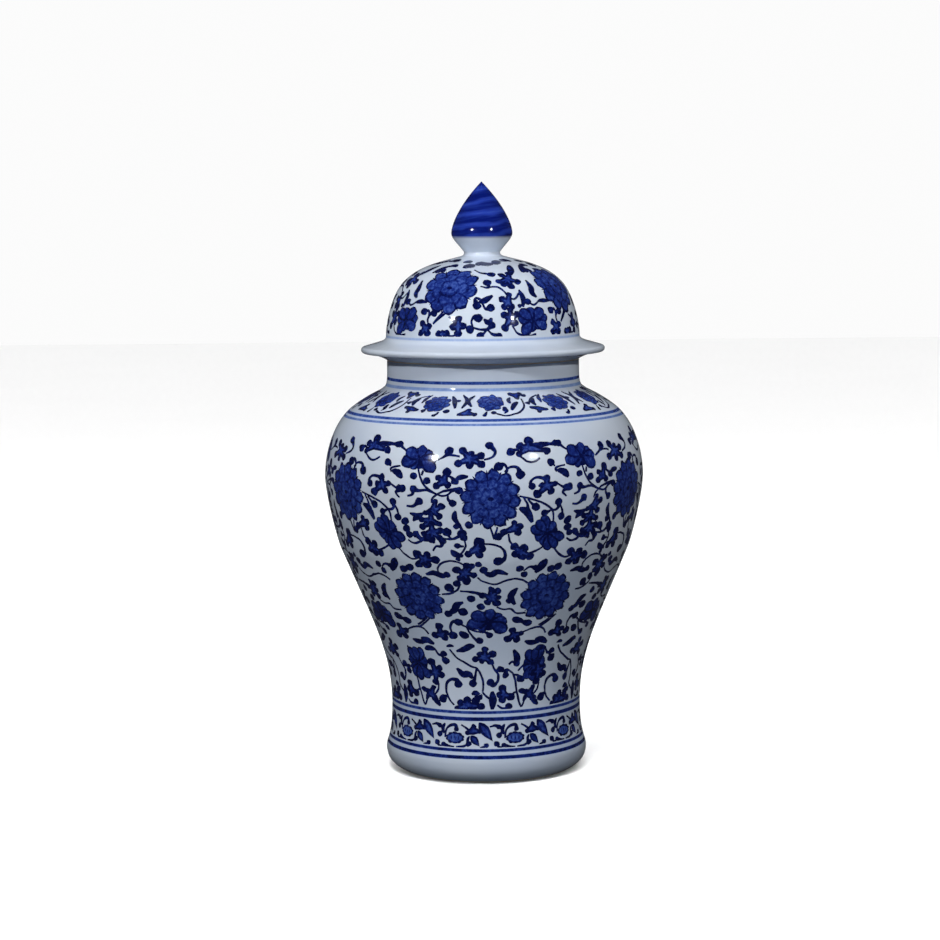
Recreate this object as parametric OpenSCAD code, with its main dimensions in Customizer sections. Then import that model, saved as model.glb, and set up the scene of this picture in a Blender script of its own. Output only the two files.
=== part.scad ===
// Covered baluster jar of thrown porcelain: a foot, a swelling body, a short straight neck,
// and a domed lid with a flat brim, an inner locating collar and a bud-shaped finial.
// Millimetres, +Z up. The origin is the centre of the circle that the foot ring stands on.

/* [Foot] */
// Outer radius of the flat ring that rests on the table
ring_r = 66.5; // [65:0.5:70]
// Width of that flat ring
ring_w = 7; // [5:0.5:9]
// Radius of the foot where it is widest
foot_r = 78.9; // [77:0.1:81]
// Height of the foot's widest place
foot_h = 16; // [14:0.5:19]
// Height of the recess turned out under the floor
recess_h = 9; // [6:0.5:11]
// Thickness of the floor
floor_t = 9; // [7:0.5:12]

/* [Body] */
// Radius of the waist above the foot
waist_r = 74.3; // [72:0.1:76]
// Height of the waist
waist_h = 51; // [48:1:54]
// Radius of the wall at the joint between the two thrown sections
seam_r = 112.9; // [111:0.1:115]
// Height of that joint
seam_h = 175.5; // [172:0.5:180]
// Outward lean of the wall at that joint, in degrees from upright
seam_lean = 22.5; // [19:0.5:25]
// Radius of the belly, the widest place
belly_r = 124.6; // [122:0.1:127]
// Height of the belly
belly_h = 232; // [228:1:236]
// Radius of the shoulder where it starts to draw in to the neck
shoulder_r = 102.3; // [100:0.1:105]
// Height of that place
shoulder_h = 286; // [283:0.5:289]
// Inward lean of the shoulder there, in degrees from upright
shoulder_lean = 53.5; // [50:0.5:57]
// Outer radius of the neck
neck_r = 75; // [74:0.1:76]
// Height at which the neck stands upright
neck_h = 316; // [314:0.5:318]
// Height of the mouth rim
mouth_h = 323; // [321:0.5:326]
// Thickness of the thrown wall
wall = 5.5; // [4.5:0.1:6.5]

/* [Lid] */
// Outer radius of the brim
brim_r = 95.1; // [93:0.1:97]
// Thickness of the brim's rounded edge
brim_t = 5; // [4.6:0.1:6]
// Rise of the brim's underside from the seat to its edge
brim_rise = 4.8; // [3:0.1:5.5]
// Outer radius of the flat seat that rests on the mouth
seat_r = 76; // [75.5:0.1:77]
// Radius of the dome at its base
dome_r = 75.6; // [74:0.1:77]
// Height of the dome's base above the seat
dome_base = 18; // [17:0.5:20]
// Radius of the dome where it turns over to the crown
turn_r = 62.4; // [60:0.1:65]
// Height of that turn above the seat
turn_h = 58.7; // [57:0.1:60]
// Inward lean of the dome there, in degrees from upright
turn_lean = 40.5; // [38:0.5:43]
// Radius of the flat pad that the finial is luted to
pad_r = 18; // [17:0.5:19]
// Height of that pad above the seat
pad_h = 79; // [78:0.5:80]
// Outer radius of the locating collar that drops into the mouth
collar_r = 66; // [64:0.5:67]
// Wall of the collar
collar_t = 5; // [4:0.5:6]
// Depth of the collar below the seat
collar_drop = 12; // [9:0.5:15]

/* [Finial] */
// Radius of the stem above the pad
stem_r = 14; // [13:0.1:15]
// Height of the stem's narrowest place above the pad
stem_h = 3.4; // [3:0.1:4]
// Radius of the bud at its widest
bud_r = 23.8; // [22:0.1:25]
// Height of the bud's widest place above the pad
bud_h = 18; // [17:0.5:19]
// Height of the whole finial above the pad
finial_h = 58; // [55:0.5:61]
// Radius of the hollow inside the bud
hollow_r = 15; // [12:0.5:16]
// Radius of the vent that lets the hollow breathe in the kiln
vent_r = 3; // [2.5:0.1:4]

/* [Hidden] */
$fn = 144;
glaze_white = [0.83, 0.88, 0.94];
cobalt_blue = [0.05, 0.11, 0.42];
bare_clay = [0.90, 0.87, 0.80];

edge_r = 1.2;             // rounding left on every turned edge
up = 0;                   // headings are degrees from upright, outward positive
down = 180;
outward = 90;
inward = -90;
pad_lean = 75;            // the dome's lean from upright where it meets the pad
tip_lean = 44;            // the bud's lean from upright at its tip
seam_step = 20;           // steps from the waist to the seam
neck_step = 9;            // of the shoulder's steps, the one where the neck ring is luted on
shoulder_steps = 14;
tip_r = 0.8;              // radius left at the very tip

// A step of one millimetre, as radius and height, along a heading.
function heading_to(a) = [sin(a), cos(a)];

// A smooth stretch of outline between two places. Lead and tail say how far it keeps to its first
// and last headings, as shares of the straight distance.
function stretch(p, a, q, b, lead, tail, steps) =
    let (
        span = norm(q - p),
        c1 = p + heading_to(a) * span * lead,
        c2 = q - heading_to(b) * span * tail
    )
    [for (i = [0:steps])
        let (t = i / steps, u = 1 - t)
        u * u * u * p + 3 * u * u * t * c1 + 3 * u * t * t * c2 + t * t * t * q];

// A round stretch about a centre, from one angle to another.
function arc(centre, r, from, to, steps) =
    [for (i = [0:steps])
        let (a = from + (to - from) * i / steps)
        centre + r * [cos(a), sin(a)]];

function slice(path, first, last) = [for (i = [first:last]) path[i]];
function rest(path) = slice(path, 1, len(path) - 1);
function reversed(path) = [for (i = [len(path) - 1:-1:0]) path[i]];

// The same outline moved to its left by a distance, which is inward on a path that runs up.
function inset(path, depth) =
    [for (i = [0:len(path) - 1])
        let (
            before = path[max(i - 1, 0)],
            after = path[min(i + 1, len(path) - 1)],
            along = (after - before) / norm(after - before)
        )
        path[i] + depth * [-along.y, along.x]];

// Outline of the jar's outside, from the resting ring up to the start of the rim's rounding.
foot_path = concat(
    stretch([ring_r, 0], 60, [foot_r, foot_h], up, 0.3, 0.5, 8),
    rest(stretch([foot_r, foot_h], up, [waist_r, waist_h], up, 0.2, 0.75, 8))
);
body_path = concat(
    stretch([waist_r, waist_h], up, [seam_r, seam_h], seam_lean, 0.31, 0.5, seam_step),
    rest(stretch([seam_r, seam_h], seam_lean, [belly_r, belly_h], up, 0.15, 0.24, 10)),
    rest(stretch([belly_r, belly_h], up, [shoulder_r, shoulder_h], -shoulder_lean, 0.28, 0.34, 14)),
    rest(stretch([shoulder_r, shoulder_h], -shoulder_lean, [neck_r, neck_h], up, 0.79, 0.55,
        shoulder_steps)),
    [[neck_r, mouth_h - edge_r]]
);
inner_path = inset(body_path, wall);
last_step = len(body_path) - 1;
neck_joint = last_step - 1 - shoulder_steps + neck_step;

// Outline of the lid's outside, from the seat up to the finial's pad.
edge_round = brim_t / 2;
edge_centre = [brim_r - edge_round, mouth_h + brim_rise + edge_round];
brim_path = concat(
    stretch([seat_r, mouth_h], 60, edge_centre - [0, edge_round], outward, 0.3, 0.3, 6),
    rest(arc(edge_centre, edge_round, -90, 70, 8))
);
brim_top = brim_path[len(brim_path) - 1];
dome_foot = [dome_r, mouth_h + dome_base];
dome_turn = [turn_r, mouth_h + turn_h];
pad_edge = [pad_r, mouth_h + pad_h];
brim_slope = stretch(brim_top, -73, dome_foot, up, 0.68, 0.22, 10);
dome_path = concat(
    stretch(dome_foot, up, dome_turn, -turn_lean, 0.18, 0.34, 12),
    rest(stretch(dome_turn, -turn_lean, pad_edge, -pad_lean, 0.36, 0.3, 12))
);
dome_inside = inset(dome_path, wall);
crown_inside = dome_inside[len(dome_inside) - 1];
ledge_top = mouth_h + 8;
collar_inner = collar_r - collar_t;

// Lower thrown section: resting ring, foot, floor and the wall up to the seam.
module lower_body() {
    floor_top = recess_h + floor_t;
    ring_inner = ring_r - ring_w;
    floor_path = stretch(inner_path[0], down, [waist_r * 0.6, floor_top], inward, 0.45, 0.55, 8);
    recess_path = arc([ring_inner - 3 * edge_r, recess_h - 2 * edge_r], 2 * edge_r, 90, 0, 4);
    color(glaze_white)
    rotate_extrude()
    polygon(concat(
        foot_path,
        rest(slice(body_path, 0, seam_step)),
        reversed(slice(inner_path, 0, seam_step)),
        rest(floor_path),
        [[0, floor_top], [0, recess_h]],
        recess_path,
        [[ring_inner - edge_r, edge_r], [ring_inner, 0]]
    ));
}

// Upper thrown section: belly and shoulder, from the seam to the foot of the neck.
module upper_body() {
    color(glaze_white)
    rotate_extrude()
    polygon(concat(
        slice(body_path, seam_step, neck_joint),
        reversed(slice(inner_path, seam_step, neck_joint))
    ));
}

// Neck ring: the cove out of the shoulder, the straight neck and the rounded mouth rim.
module neck_ring() {
    bore_r = neck_r - wall;
    color(glaze_white)
    rotate_extrude()
    polygon(concat(
        slice(body_path, neck_joint, last_step),
        rest(arc([neck_r - edge_r, mouth_h - edge_r], edge_r, 0, 90, 4)),
        arc([bore_r + edge_r, mouth_h - edge_r], edge_r, 90, 180, 4),
        rest(reversed(slice(inner_path, neck_joint, last_step)))
    ));
}

// Lid: flat brim and hollow dome, with the finial's pad on top and a vent through it.
module lid_dome() {
    ledge_path = stretch(dome_inside[0], down, [collar_inner + edge_r, ledge_top], inward,
        0.5, 0.5, 6);
    color(glaze_white)
    rotate_extrude()
    polygon(concat(
        brim_path,
        rest(brim_slope),
        rest(dome_path),
        [[vent_r, pad_edge.y], [vent_r, crown_inside.y]],
        reversed(dome_inside),
        rest(ledge_path),
        rest(arc([collar_inner + edge_r, ledge_top - edge_r], edge_r, 90, 180, 3)),
        [[collar_inner, mouth_h]]
    ));
}

// Locating collar luted under the seat. It drops into the mouth and keeps the lid centred.
module lid_collar() {
    bottom = mouth_h - collar_drop;
    color(bare_clay)
    rotate_extrude()
    polygon(concat(
        [[collar_r, mouth_h], [collar_inner, mouth_h]],
        arc([collar_inner + edge_r, bottom + edge_r], edge_r, 180, 270, 3),
        arc([collar_r - edge_r, bottom + edge_r], edge_r, 270, 360, 3)
    ));
}

// Finial: a bud on a short stem, thrown hollow and open downward through the vent.
module finial() {
    base = mouth_h + pad_h;
    stem = [stem_r, base + stem_h];
    bud = [bud_r, base + bud_h];
    tip = [tip_r, base + finial_h - tip_r];
    hollow_foot = [vent_r, base + stem_h * 2];
    hollow_wide = [hollow_r, base + bud_h + 2];
    hollow_top = [0, base + finial_h * 0.7];
    color(cobalt_blue)
    rotate_extrude()
    polygon(concat(
        [[vent_r, base]],
        stretch([pad_r, base], -pad_lean, stem, up, 0.4, 0.5, 5),
        rest(stretch(stem, 30, bud, up, 0.25, 0.25, 8)),
        rest(stretch(bud, up, tip, -tip_lean, 0.16, 0.5, 14)),
        [[0, base + finial_h]],
        stretch(hollow_top, outward, hollow_wide, down, 0.3, 0.6, 8),
        rest(stretch(hollow_wide, down, hollow_foot, inward, 0.4, 0.2, 6))
    ));
}

lower_body();
upper_body();
neck_ring();
lid_dome();
lid_collar();
finial();
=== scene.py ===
import math

import bmesh
import bpy
import numpy as np
from mathutils import Matrix, Vector, noise
from mathutils.geometry import delaunay_2d_cdt


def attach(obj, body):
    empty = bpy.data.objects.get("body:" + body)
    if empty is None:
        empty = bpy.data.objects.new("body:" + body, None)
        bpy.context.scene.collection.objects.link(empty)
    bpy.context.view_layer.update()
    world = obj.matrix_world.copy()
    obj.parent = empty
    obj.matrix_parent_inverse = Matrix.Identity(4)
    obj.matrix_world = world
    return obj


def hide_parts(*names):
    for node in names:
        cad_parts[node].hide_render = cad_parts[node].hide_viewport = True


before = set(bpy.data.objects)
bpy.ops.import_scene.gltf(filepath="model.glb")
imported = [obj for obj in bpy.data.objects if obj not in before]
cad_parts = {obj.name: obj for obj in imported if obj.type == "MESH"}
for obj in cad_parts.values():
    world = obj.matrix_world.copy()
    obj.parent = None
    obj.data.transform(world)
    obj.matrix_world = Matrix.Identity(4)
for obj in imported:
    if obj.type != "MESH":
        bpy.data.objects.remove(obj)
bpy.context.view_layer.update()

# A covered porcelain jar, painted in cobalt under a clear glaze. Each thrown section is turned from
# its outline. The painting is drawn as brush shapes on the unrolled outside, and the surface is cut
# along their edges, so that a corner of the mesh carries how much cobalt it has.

BRUSH_SEED = 5            # the seed of the brush's unevenness, which the painted meshes' shapes depend on
noise.seed_set(BRUSH_SEED)

# Sizes of the potting in millimetres and leans in degrees, the same as the CAD model's. R is a
# radius, H a height above the table, T a thickness.
MM = 0.001
RING_R, RING_W, RING_LEAN = 66.5, 7.0, 60.0
FOOT_R, FOOT_H = 78.9, 16.0
RECESS_H, FLOOR_T = 9.0, 9.0
WAIST_R, WAIST_H = 74.3, 51.0
SEAM_R, SEAM_H, SEAM_LEAN = 112.9, 175.5, 22.5
BELLY_R, BELLY_H = 124.6, 232.0
SHOULDER_R, SHOULDER_H, SHOULDER_LEAN = 102.3, 286.0, 53.5
NECK_R, NECK_H = 75.0, 316.0
MOUTH_H = 323.0
WALL = 5.5
# The lid's heights are above its seat on the mouth,
SEAT_R = 76.0
BRIM_R, BRIM_T, BRIM_RISE = 95.1, 5.0, 4.8
DOME_R, DOME_BASE = 75.6, 18.0
TURN_R, TURN_H, TURN_LEAN = 62.4, 58.7, 40.5
PAD_R, PAD_H, PAD_LEAN = 18.0, 79.0, 75.0
LEDGE_H = 8.0
COLLAR_R, COLLAR_T, COLLAR_DROP = 66.0, 5.0, 12.0
# and the finial's are above the pad that it stands on.
STEM_R, STEM_H, STEM_LEAN = 14.0, 3.4, 30.0
BUD_R, BUD_H = 23.8, 18.0
FINIAL_H, TIP_R, TIP_LEAN = 58.0, 0.8, 44.0
HOLLOW_R, VENT_R = 15.0, 3.0
EDGE_R = 1.2

UP, DOWN, OUTWARD, INWARD = 0.0, 180.0, 90.0, -90.0      # headings along a half-section

FULL_TURN = 360.0
TURN_STEPS = 240          # facets round every piece
SHEETS = 4                # lengths that a plain band is laid out in on the map
SHEET_GAP = 1.2           # and the space between two of them, in millimetres
GRID_TURN, GRID_UP = 3.0, 4.5            # spacing of the places on a painted band, degrees and mm
RIM_TURN = 1.5            # and along its edges, where the plain bands' facets meet it
SAME = 1e-9               # numbers nearer than this are equal
WELD = 0.004              # places nearer than this are one, in millimetres
SNAP = 0.01               # and a brush edge nearer than this to another meets it
SLACK = 1.1               # how much further than that a place may have been moved
SAME_TURN = 1e-3          # turns nearer than this are one, in degrees
MARGIN = 0.4              # the brush keeps this far inside the edges of its band
CUT_R = 100.0             # the radius at which a band is laid flat to be cut
PLAIN, LUTED = 0.3, 0.25  # scales on the map of unpainted walls and of the faces where sections meet
WHITE, MID, DARK = 0.0, 0.66, 1.0        # how much cobalt a place carries


# ---------------------------------------------------------------- outlines

def heading(angle):
    a = math.radians(angle)
    return np.array([math.sin(a), math.cos(a)])


def stretch(p, a, q, b, lead, tail, steps):
    """A smooth stretch of outline from p, heading a, to q, heading b. lead and tail say how long it
    keeps to each heading, in shares of its span."""
    p, q = np.array(p, float), np.array(q, float)
    span = np.linalg.norm(q - p)
    c1 = p + heading(a) * span * lead
    c2 = q - heading(b) * span * tail
    t = np.linspace(0, 1, steps + 1)[:, None]
    u = 1 - t
    return u ** 3 * p + 3 * u * u * t * c1 + 3 * u * t * t * c2 + t ** 3 * q


def arc(centre, r, start, stop, steps):
    a = np.radians(np.linspace(start, stop, steps + 1))
    return np.array(centre) + r * np.stack([np.cos(a), np.sin(a)], 1)


def joined(*paths):
    """Paths end to end, without the repeated places."""
    out = [np.array(paths[0], float)]
    for path in paths[1:]:
        path = np.array(path, float)
        repeated = np.linalg.norm(path[0] - out[-1][-1]) < SAME
        out.append(path[1:] if repeated else path)
    return np.concatenate(out)


def tangents(path):
    ahead = np.roll(path, -1, 0)
    behind = np.roll(path, 1, 0)
    ahead[-1] = path[-1]
    behind[0] = path[0]
    along = ahead - behind
    return along / np.linalg.norm(along, axis=1)[:, None]


def inset(path, depth):
    """The same path moved to its left, which is inward on a path that runs up."""
    t = tangents(path)
    return path + depth * np.stack([-t[:, 1], t[:, 0]], 1)


class Outline:
    """The outside of the jar or the lid as one line, measured along its length."""

    def __init__(self, path):
        self.path = path
        steps = np.linalg.norm(np.diff(path, axis=0), axis=1)
        self.s = np.concatenate([[0], np.cumsum(steps)])
        t = tangents(path)
        self.out = np.stack([t[:, 1], -t[:, 0]], 1)

    def place(self, s):
        return np.stack([np.interp(s, self.s, self.path[:, k]) for k in (0, 1)], -1)

    def normal(self, s):
        n = np.stack([np.interp(s, self.s, self.out[:, k]) for k in (0, 1)], -1)
        return n / np.linalg.norm(n, axis=-1, keepdims=True)

    def along(self, height):
        """Length along the line to the place at a height. The line always climbs."""
        return np.interp(height, self.path[:, 1], self.s)


FINE = 56                 # steps in one long stretch of outline
NECK_JOINT = 36           # of the cove's steps, the one where the neck ring is luted on
FOOT_LOW, FOOT_TOP = 28.6, 49.0          # heights of the painted bands
FIELD_LOW, FIELD_HIGH = 58.0, 278.0
SHOULDER_LOW, SHOULDER_HIGH = 285.0, 301.6
DOME_LOW, DOME_HIGH = 343.0, 400.6
BLUE_FROM, BLUE_EDGE = 416.0, 2.2        # where the finial's blue starts, and its soft edge

cove = stretch([SHOULDER_R, SHOULDER_H], -SHOULDER_LEAN, [NECK_R, NECK_H], UP, 0.79, 0.55, FINE)
wall_below = stretch([WAIST_R, WAIST_H], UP, [SEAM_R, SEAM_H], SEAM_LEAN, 0.31, 0.5, 2 * FINE)
wall_above = joined(
    stretch([SEAM_R, SEAM_H], SEAM_LEAN, [BELLY_R, BELLY_H], UP, 0.15, 0.24, FINE),
    stretch([BELLY_R, BELLY_H], UP, [SHOULDER_R, SHOULDER_H], -SHOULDER_LEAN, 0.28, 0.34, FINE),
    cove[:NECK_JOINT + 1],
)
wall_neck = joined(cove[NECK_JOINT:], [[NECK_R, MOUTH_H - EDGE_R]])
jar_outside = Outline(joined(
    stretch([RING_R, 0], RING_LEAN, [FOOT_R, FOOT_H], UP, 0.3, 0.5, FINE // 3),
    stretch([FOOT_R, FOOT_H], UP, [WAIST_R, WAIST_H], UP, 0.2, 0.75, FINE // 2),
    wall_below, wall_above, wall_neck,
))

edge_round = BRIM_T / 2
edge_centre = [BRIM_R - edge_round, MOUTH_H + BRIM_RISE + edge_round]
brim_edge = arc(edge_centre, edge_round, -90, 70, 12)
dome_foot = [DOME_R, MOUTH_H + DOME_BASE]
dome_turn = [TURN_R, MOUTH_H + TURN_H]
pad_edge = [PAD_R, MOUTH_H + PAD_H]
dome_path = joined(
    stretch(dome_foot, UP, dome_turn, -TURN_LEAN, 0.18, 0.34, FINE),
    stretch(dome_turn, -TURN_LEAN, pad_edge, -PAD_LEAN, 0.36, 0.3, FINE),
)
lid_outside = Outline(joined(
    stretch([SEAT_R, MOUTH_H], 60, [edge_centre[0], MOUTH_H + BRIM_RISE], OUTWARD, 0.3, 0.3, 12),
    brim_edge,
    stretch(brim_edge[-1], -73, dome_foot, UP, 0.68, 0.22, 24),
    dome_path,
))


# ---------------------------------------------------------------- skins

class Skin:
    """Gathers one piece's faces, each corner with its normal, its tone and its place on the map."""

    def __init__(self, name):
        self.name = name
        self.places, self.faces = [], []
        self.normals, self.tones, self.maps, self.slots = [], [], [], []
        self.count = 0
        self.sheets = []

    def add(self, places, faces, normals, tones, flat, slot=0, weight=1.0):
        """flat gives each place on the unrolled sheet in millimetres, and tones one value a face
        or one a place."""
        faces = [tuple(int(i) for i in face) for face in faces]
        self.places.append(places)
        self.sheets.append((self.corner_total(), flat, weight, faces))
        for k, face in enumerate(faces):
            self.faces.append(tuple(i + self.count for i in face))
            self.slots.append(slot)
            for i in face:
                self.normals.append(normals[i])
                self.tones.append(tones[k] if len(tones) == len(faces) else tones[i])
        self.count += len(places)

    def corner_total(self):
        return len(self.normals)

    def laid_out(self):
        """Packs the sheets in rows on the unit square and returns a place on it for every corner."""
        spans = []
        for first, flat, weight, faces in self.sheets:
            flat = (flat - flat.min(0)) * weight
            spans.append((first, flat, faces, *flat.max(0)))
        gap = SHEET_GAP
        side = math.sqrt(sum((w + gap) * (h + gap) for *_, w, h in spans))
        order = sorted(range(len(spans)), key=lambda k: (-spans[k][4], spans[k][0]))
        while True:
            spots, x, y, row = {}, gap, gap, 0
            for k in order:
                w, h = spans[k][3:]
                if x + w + gap > side:
                    x, y, row = gap, y + row + gap, 0
                spots[k] = (x, y)
                x += w + gap
                row = max(row, h)
            if y + row + gap <= side and max(s[3] for s in spans) + 2 * gap <= side:
                break
            side *= 1.02          # a little larger, until the rows fit
        maps = np.zeros((self.corner_total(), 2))
        for k, (first, flat, faces, *_) in enumerate(spans):
            corners = [i for face in faces for i in face]
            maps[first:first + len(corners)] = (flat[corners] + spots[k]) / side
        return maps

    def build(self, materials):
        mesh = bpy.data.meshes.new(self.name)
        places = np.concatenate(self.places) * MM
        mesh.from_pydata(places.tolist(), [], self.faces)
        layer = mesh.attributes.new("round", "FLOAT_VECTOR", "CORNER")
        layer.data.foreach_set("vector", np.array(self.normals, np.float32).ravel())
        tone = mesh.attributes.new("cobalt", "FLOAT", "CORNER")
        tone.data.foreach_set("value", np.array(self.tones, np.float32))
        uv = mesh.uv_layers.new(name="OFBake")
        uv.data.foreach_set("uv", self.laid_out().astype(np.float32).ravel())
        mesh.polygons.foreach_set("material_index", np.array(self.slots, np.int32))
        mesh.polygons.foreach_set("use_smooth", np.ones(len(self.faces), bool))
        bm = bmesh.new()
        bm.from_mesh(mesh)
        bmesh.ops.remove_doubles(bm, verts=bm.verts, dist=WELD * MM)
        bm.to_mesh(mesh)
        bm.free()
        normals = np.zeros(len(mesh.loops) * 3, np.float32)
        mesh.attributes["round"].data.foreach_get("vector", normals)
        mesh.attributes.remove(mesh.attributes["round"])
        mesh.normals_split_custom_set(normals.reshape(-1, 3).tolist())
        for material in materials:
            mesh.materials.append(material)
        piece = bpy.data.objects.new(self.name, mesh)
        bpy.context.scene.collection.objects.link(piece)
        return piece


def on_wheel(path, turns):
    """Every place of a half-section at every turn, in degrees. Turn 0 faces the front."""
    a = np.radians(turns)
    r, z = path[..., 0], path[..., 1]
    return np.stack([r * np.sin(a), -r * np.cos(a), z + 0 * a], -1)


def thrown_band(skin, path, tones=None, slot=0, weight=PLAIN):
    """A plain band of wall round the whole piece, from a path that keeps the solid on its left.
    weight is the band's scale on the map."""
    path = np.array(path, float)
    tones = np.zeros(len(path)) if tones is None else np.array(tones, float)
    t = tangents(path)
    out = np.stack([t[:, 1], -t[:, 0]], 1)
    lengths = np.concatenate([[0], np.cumsum(np.linalg.norm(np.diff(path, axis=0), axis=1))])
    steps = TURN_STEPS // SHEETS
    for part in range(SHEETS):
        turns = (part * steps + np.arange(steps + 1)) * (FULL_TURN / TURN_STEPS)
        places = on_wheel(path[:, None, :], turns[None, :]).reshape(-1, 3)
        normals = on_wheel(out[:, None, :], turns[None, :]).reshape(-1, 3)
        flat = np.stack(np.broadcast_arrays(
            np.radians(turns)[None, :] * path[:, 0].max(), lengths[:, None]), -1).reshape(-1, 2)
        faces = []
        for i in range(len(path) - 1):
            for j in range(steps):
                a = i * (steps + 1) + j
                b = a + steps + 1
                corners = (a, a + 1, b + 1, b)
                if path[i][0] < SAME:
                    corners = (a, b + 1, b)
                elif path[i + 1][0] < SAME:
                    corners = (a, a + 1, b)
                faces.append(corners)
        skin.add(places, faces, normals, np.repeat(tones, steps + 1), flat, slot, weight)


# ---------------------------------------------------------------- brushwork

STROKE_WOBBLE = 0.35      # how far a stroke's edge strays, in millimetres,
GRAIN = 0.35              # and how quickly that changes from place to place


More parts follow.
